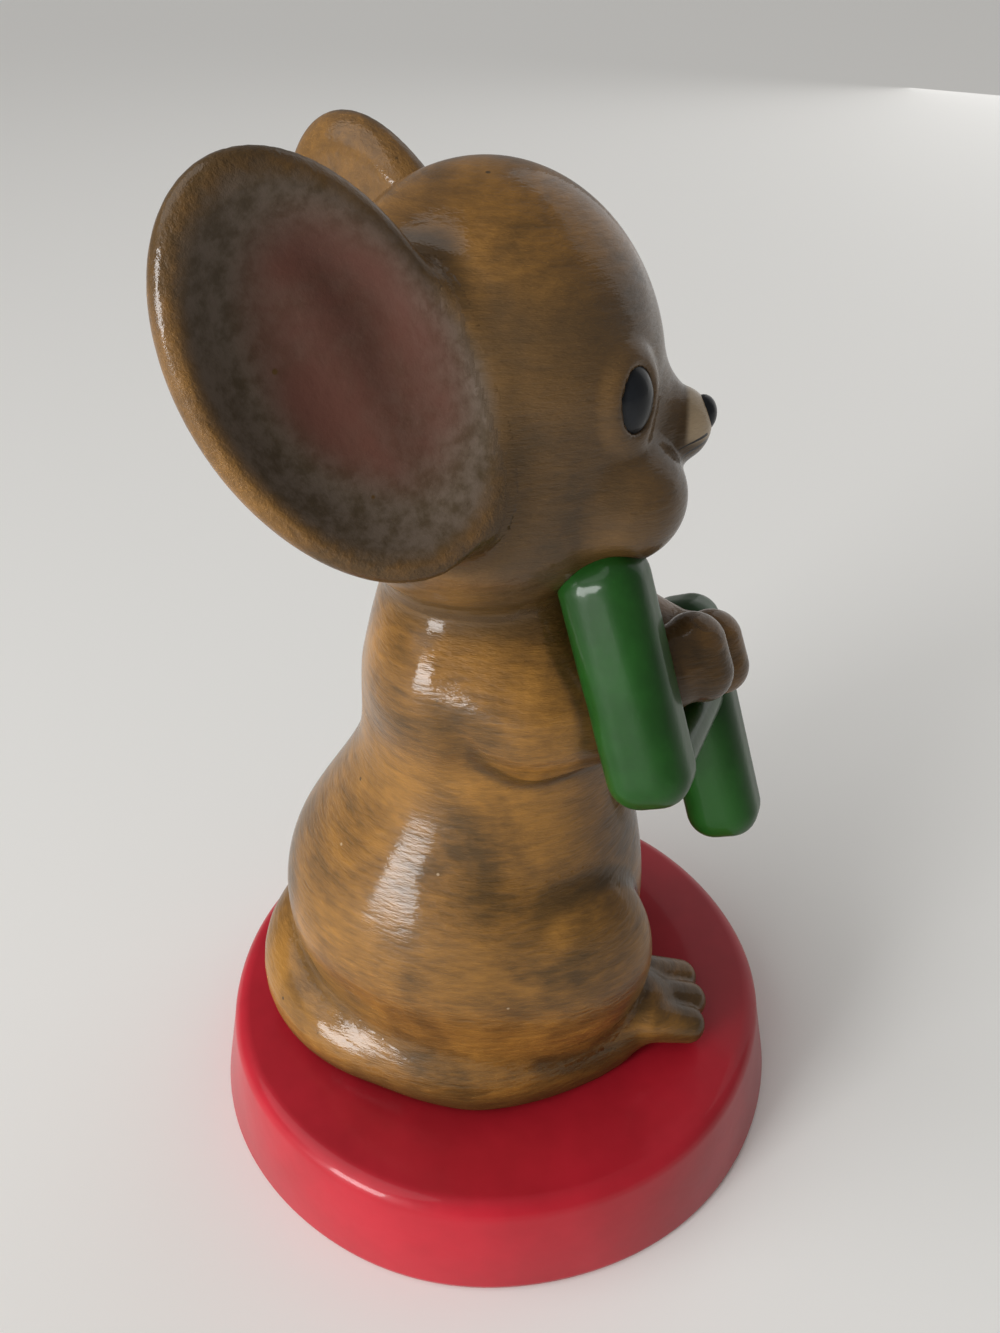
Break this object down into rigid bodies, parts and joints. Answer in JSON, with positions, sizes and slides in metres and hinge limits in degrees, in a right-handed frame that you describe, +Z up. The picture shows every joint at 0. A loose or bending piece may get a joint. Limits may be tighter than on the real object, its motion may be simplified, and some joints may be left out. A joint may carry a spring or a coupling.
{
  "type": "mouse figurine",
  "caption": "Seated big-eared ceramic mouse on a round red base, holding a small green frame in its paws; a shelf ornament.",
  "frame": {"origin": "middle of the base's flat underside", "axes": "+Z up, the mouse's body faces -Y, its left side is +X"},
  "size_m": [0.0632, 0.0632, 0.0975],
  "materials": {
    "red_paint": "gloss red paint over ceramic",
    "brown_glaze": "streaky brown stain under clear gloss",
    "green_paint": "gloss green paint over ceramic",
    "black_paint": "gloss black paint over ceramic"
  },
  "bodies": {
    "root": {"base": "red_paint", "nose": "black_paint", "right_eye": "black_paint", "left_eye": "black_paint", "frame_right_rail": "green_paint", "frame_left_rail": "green_paint", "frame_upper_rung": "green_paint", "frame_lower_rung": "green_paint", "body": "brown_glaze", "head": "brown_glaze", "tail": "brown_glaze", "right_ear": "brown_glaze", "right_arm": "brown_glaze", "right_paw": "brown_glaze", "right_haunch": "brown_glaze", "right_foot": "brown_glaze", "left_ear": "brown_glaze", "left_arm": "brown_glaze", "left_paw": "brown_glaze", "left_haunch": "brown_glaze", "left_foot": "brown_glaze"}
  },
  "joints": []
}
